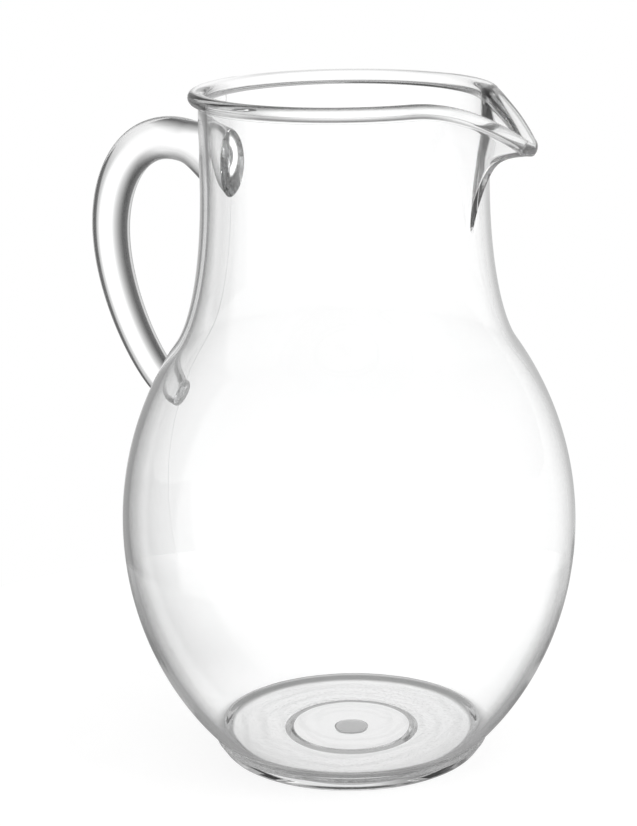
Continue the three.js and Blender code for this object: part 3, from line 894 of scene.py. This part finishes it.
def cement(name):
    """Clear cement with cloudy patches and tiny trapped bubbles. A crescent of the upper film glows as a
    painted highlight, and the lower film glows faintly as painted light."""
    material, tree, shader, place = new_material(name)
    shader.inputs["IOR"].default_value = CEMENT_INDEX
    _, y, z = in_mm(tree, place)
    across = y / PAD_HALF_WIDTH + 0.15
    above = (z - HANDLE_TOP[1]) / PAD_HALF_HEIGHT - 0.2
    away = reckon("SQRT", across * across + above * above)
    # Painted highlight: a crescent of the upper film that glows white.
    painted_highlight = band(away, 0.3, 0.42, 0.58, 0.75) * eased(across, -0.05, 0.2)
    # Painted light: the lower film glows faintly.
    lower = 1 - eased(z, 150, 160)
    shader.inputs["Emission Color"].default_value = (1, 1, 1, 1)
    plug(tree, shader.inputs["Emission Strength"], painted_highlight * HIGHLIGHT_PAINTED_GLOW + lower * LOWER_PAINTED_GLOW)
    haze = noise(tree, place, 130, 2)
    colour = ramp(tree, haze, [(0.35, (0.96, 0.97, 0.97)), (0.65, (1.0, 1.0, 1.0))])
    plug(tree, shader.inputs["Base Color"], colour)
    plug(tree, shader.inputs["Transmission Weight"], 1 - eased(haze, 0.47, 0.58) * CEMENT_CLOUD)
    bubble = tree.nodes.new("ShaderNodeTexVoronoi")
    bubble.inputs["Scale"].default_value = 900
    tree.links.new(place, bubble.inputs["Vector"])
    spot = 1 - eased(Flow(tree, bubble.outputs["Distance"]), 0.08, 0.14)
    plug(tree, shader.inputs["Roughness"], eased(haze, 0.45, 0.7) * CEMENT_ROUGH + spot * BUBBLE_ROUGH)
    roughened(tree, shader, noise(tree, place, 190, 1), 0.8, 0.004)
    return material


# Set: floor, surroundings, lamps and camera. The levels go by bearing, in degrees right of the
# photograph's line of sight: of the surroundings first, then of the floor.

THROUGH_BAR = ((-180, 1.1), (-57, 1.1), (-51, 0.2), (-40, 0.15), (-31, 0.1), (-25.6, 0.2), (-21, 0.33),
               (-17.6, 0.46), (-12, 0.7), (-6, 1.1), (31, 1.1), (37, 0.3), (56, 0.22), (62, 1.1),
               (180, 1.1))
THROUGH_WALL = ((-180, 1.1), (-49, 1.1), (-43, 0.4), (-31, 0.35), (-27, 0.5), (-22, 1.1), (38, 1.1),
                (42, 0.5), (62, 0.5), (67, 1.1), (180, 1.1))
MIRRORED = ((-180, 0.65), (-84.6, 0.65), (-84, 0.03), (-46, 0.03), (-36, 0.25), (-24, 0.38), (-14, 0.42),
            (-8, 0.9), (5, 0.9), (11, 0.56), (22, 0.6), (34, 0.84), (50, 0.9), (90, 0.65), (180, 0.65))
MIRRORED_INSIDE = ((-180, 0.65), (-90, 0.65), (-50, 0.9), (36, 0.9), (42, 0.05), (84, 0.05), (84.6, 0.65),
                   (180, 0.65))
MIRRORED_FLOOR = ((-180, 0.5), (-150, 0.5), (-122, 0.1), (-95, 0.0), (-75, 0.05), (-45, 0.3), (0, 0.4),
                  (40, 0.45), (110, 0.5), (180, 0.5))
INSIDE_FLOOR = ((-180, 0.5), (-60, 0.5), (20, 0.25), (80, 0.25), (150, 0.5), (180, 0.5))
THROUGH_FLOOR = ((-180, 1.0), (-110, 1.0), (-60, 0.8), (-35, 0.85), (-10, 1.0), (180, 1.0))

# White behind the pitcher, light on plain surfaces, and how far the flags and the ceiling darken it.
SEEN_WORLD, PLAIN_WORLD = 1.0, 0.8
FLAG_BEARING, FLAG_COUNT, FLAG_SHADE = 53.5, 8, 0.6
CEILING_THROUGH, CEILING_MIRRORED = 0.5, 0.6

# The table top, in millimetres, and its levels: seen, on plain surfaces, and seen through the plastic
# under the foot, a painted contact shadow where the foot touches, and painted shade mirrored close by.
TABLE_RADIUS, TABLE_SIDES, TABLE_DROP = 235, 128, 0.2
SEEN_FLOOR, PLAIN_FLOOR = 0.84, 0.55
UNDER_FLOOR, PAINTED_CONTACT_SHADOW, PAINTED_NEAR_SHADE = 0.95, 0.18, 0.25
LIGHT_BOUNCES = 64


def bearing(tree, vector):
    """Angle of a direction right of the photograph's line of sight, in degrees, and its height."""
    x, y, z = split(tree, vector)
    ahead, aside = seen_from_front(x, y)
    return reckon("ARCTAN2", aside, ahead) * (180 / math.pi), z


def by_bearing(tree, angle, stops):
    return ramp(tree, (angle + 180) / 360, [((a + 180) / 360, level) for a, level in stops])


def glow(tree, seen, bar, wall, mirrored, inside, plain):
    """One strength for each kind of ray: seen straight, through a single piece or through both walls,
    mirrored by the near wall or inside the vessel, or lighting a plain surface."""
    node = tree.nodes.new("ShaderNodeLightPath")
    path = {socket.name: Flow(tree, socket) for socket in node.outputs}
    deep = reckon("GREATER_THAN", path["Transmission Depth"], 2.5)
    turned = reckon("GREATER_THAN", path["Glossy Depth"], 0.5)
    bent = blend(blend(bar, wall, deep), blend(mirrored, inside, deep), turned)
    clear = reckon("MAXIMUM", path["Is Glossy Ray"], path["Is Transmission Ray"])
    return blend(blend(plain, bent, clear), seen, path["Is Camera Ray"])


def surroundings():
    """White studio: white behind the pitcher from every side, with darker flags between and a
    darker ceiling, which give the plastic its edges."""
    world = bpy.data.worlds.new("studio")
    bpy.context.scene.world = world
    world.use_nodes = True
    tree = world.node_tree
    back = tree.nodes["Background"]
    direction = tree.nodes.new("ShaderNodeTexCoord").outputs["Generated"]
    angle, rise = bearing(tree, direction)
    ceiling = eased(rise, 0.22, 0.6)
    far = eased(reckon("ABSOLUTE", angle), 66, 72)
    wave = reckon("COSINE", (angle - FLAG_BEARING) * math.radians(FLAG_COUNT))
    flags = eased(wave, 0.1, 0.8) * far * eased(rise, -0.32, -0.12)
    clear = blend(1.0, CEILING_THROUGH, ceiling) * (1 - flags * FLAG_SHADE)
    bar, wall = (by_bearing(tree, angle, stops) * clear for stops in (THROUGH_BAR, THROUGH_WALL))
    dim = blend(1.0, CEILING_MIRRORED, ceiling)
    mirrored, inside = (by_bearing(tree, angle, stops) * dim for stops in (MIRRORED, MIRRORED_INSIDE))
    strength = glow(tree, SEEN_WORLD, bar, wall, mirrored, inside, PLAIN_WORLD)
    plug(tree, back.inputs["Strength"], strength)
    back.inputs["Color"].default_value = (1, 1, 1, 1)


def floor_material():
    """A pale surface that keeps the shadow, with levels of its own for what the plastic shows of it:
    a painted contact shadow round the foot's edge, painted shade close by in what is mirrored, and
    darker levels by bearing further out."""
    material, tree, shader, place = new_material("pale_floor")
    tree.nodes.remove(shader)
    diffuse = tree.nodes.new("ShaderNodeBsdfDiffuse")
    plug(tree, diffuse.inputs["Color"], ramp(tree, noise(tree, place, 60, 2), [(0.3, 0.205), (0.7, 0.215)]))
    x, y, _ = in_mm(tree, place)
    dx = x - AXIS_X
    radius = reckon("SQRT", dx * dx + y * y)
    angle, _ = bearing(tree, joined(tree, dx, y, 0.0))
    mirrored, inside, through = (by_bearing(tree, angle, stops)
                                 for stops in (MIRRORED_FLOOR, INSIDE_FLOOR, THROUGH_FLOOR))
    # Painted shade: the floor close by is darker where the wall mirrors it.
    mirrored = blend(PAINTED_NEAR_SHADE, mirrored, eased(radius, 70, 190))
    far_out = eased(radius, 60, 110) * (1 - eased(radius, 200, TABLE_RADIUS - 1) * 0.5)
    through = blend(1.0, through, far_out)
    through = blend(through, UNDER_FLOOR, 1 - eased(radius, 40, 46))
    # Painted contact shadow: a dark ring round the foot's edge, seen through the plastic.
    through = blend(through, PAINTED_CONTACT_SHADOW, band(radius, 44, 47, 49, 58))
    emission = tree.nodes.new("ShaderNodeEmission")
    level = glow(tree, SEEN_FLOOR, through, through, mirrored, inside, PLAIN_FLOOR)
    plug(tree, emission.inputs["Strength"], level)
    both = tree.nodes.new("ShaderNodeAddShader")
    tree.links.new(diffuse.outputs[0], both.inputs[0])
    tree.links.new(emission.outputs[0], both.inputs[1])
    tree.links.new(both.outputs[0], tree.nodes["Material Output"].inputs["Surface"])
    return material


def floor():
    """A round pale table top under the pitcher."""
    ring = [((AXIS_X + TABLE_RADIUS * math.cos(a)) * MM, TABLE_RADIUS * math.sin(a) * MM, 0)
            for a in spaced(0, 2 * math.pi, TABLE_SIDES)]
    mesh = bpy.data.meshes.new("floor")
    mesh.from_pydata(ring, [], [tuple(range(TABLE_SIDES))])
    mesh.materials.append(floor_material())
    table = bpy.data.objects.new("floor", mesh)
    bpy.context.scene.collection.objects.link(table)
    table.location.z = -TABLE_DROP * MM


def softbox(name, bearing_angle, distance, height, size, watts):
    """A square lamp that faces the pitcher, at an angle right of the photograph's line of sight, with
    lengths in metres."""
    data = bpy.data.lights.new(name, "AREA")
    data.shape = "SQUARE"
    data.size = size
    data.energy = watts
    lamp = bpy.data.objects.new(name, data)
    bpy.context.scene.collection.objects.link(lamp)
    a = FORWARD - math.radians(bearing_angle)
    lamp.location = (AXIS_X * MM + distance * math.cos(a), distance * math.sin(a), height)
    aim = Vector((AXIS_X * MM, 0, 0.1)) - lamp.location
    lamp.rotation_euler = aim.to_track_quat("-Z", "Y").to_euler()
    lamp.visible_camera = False
    lamp.visible_transmission = False
    lamp.visible_glossy = False


def camera():
    """The photograph's own view."""
    data = bpy.data.cameras.new("camera")
    data.sensor_fit = "VERTICAL"
    data.sensor_height = SENSOR_HEIGHT
    data.lens = LENS
    data.clip_start = 0.01
    eye = bpy.data.objects.new("camera", data)
    bpy.context.scene.collection.objects.link(eye)
    forward = Vector((math.sin(YAW) * math.cos(PITCH), math.cos(YAW) * math.cos(PITCH), -math.sin(PITCH)))
    level = Vector((math.cos(YAW), -math.sin(YAW), 0))
    above = level.cross(forward)
    right = level * math.cos(ROLL) + above * math.sin(ROLL)
    up = above * math.cos(ROLL) - level * math.sin(ROLL)
    turn = Matrix.Rotation(TURN, 3, "Z")
    place = turn @ Vector((0, -EYE_DISTANCE, EYE_HEIGHT)) + Vector((AXIS_X, 0, 0))
    axes = Matrix((turn @ right, turn @ up, turn @ -forward)).transposed()
    eye.matrix_world = Matrix.Translation(place * MM) @ axes.to_4x4()
    bpy.context.scene.camera = eye


camera()
surroundings()
floor()
softbox("softbox_right", bearing_angle=115, distance=1.1, height=0.75, size=0.8, watts=9)
softbox("softbox_left", bearing_angle=-140, distance=1.2, height=0.9, size=0.6, watts=4)
scene = bpy.context.scene
scene.view_settings.view_transform = "Standard"
scene.cycles.max_bounces = LIGHT_BOUNCES
scene.cycles.transmission_bounces = LIGHT_BOUNCES
scene.cycles.glossy_bounces = LIGHT_BOUNCES

wall_plastic = clear_plastic("clear_wall_plastic", WALL_EDGE_SHADE, BEAD_EDGE_SHADE, "bead", vessel_details)
bar_plastic = clear_plastic("clear_bar_plastic", BAR_EDGE_SHADE, INNER_SIDE_SHADE, "inner", bar_details)
bond_cement = cement("clear_cement")

vessel = settled(vessel_mesh(), vessel_tree(), wall_plastic, {}, "vessel_wall")
handle = handle_piece(bar_plastic)
upper_film = film_piece("upper_film", bond_cement, True)
lower_film = film_piece("lower_film", bond_cement, False)

for piece, node, slot in (
    (vessel, "vessel", "clear_wall"),
    (handle, "handle", "clear_bar"),
    (upper_film, "upper_bond", "bond"),
    (lower_film, "lower_bond", "bond"),
):
    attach(piece, "root")
    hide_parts(node)
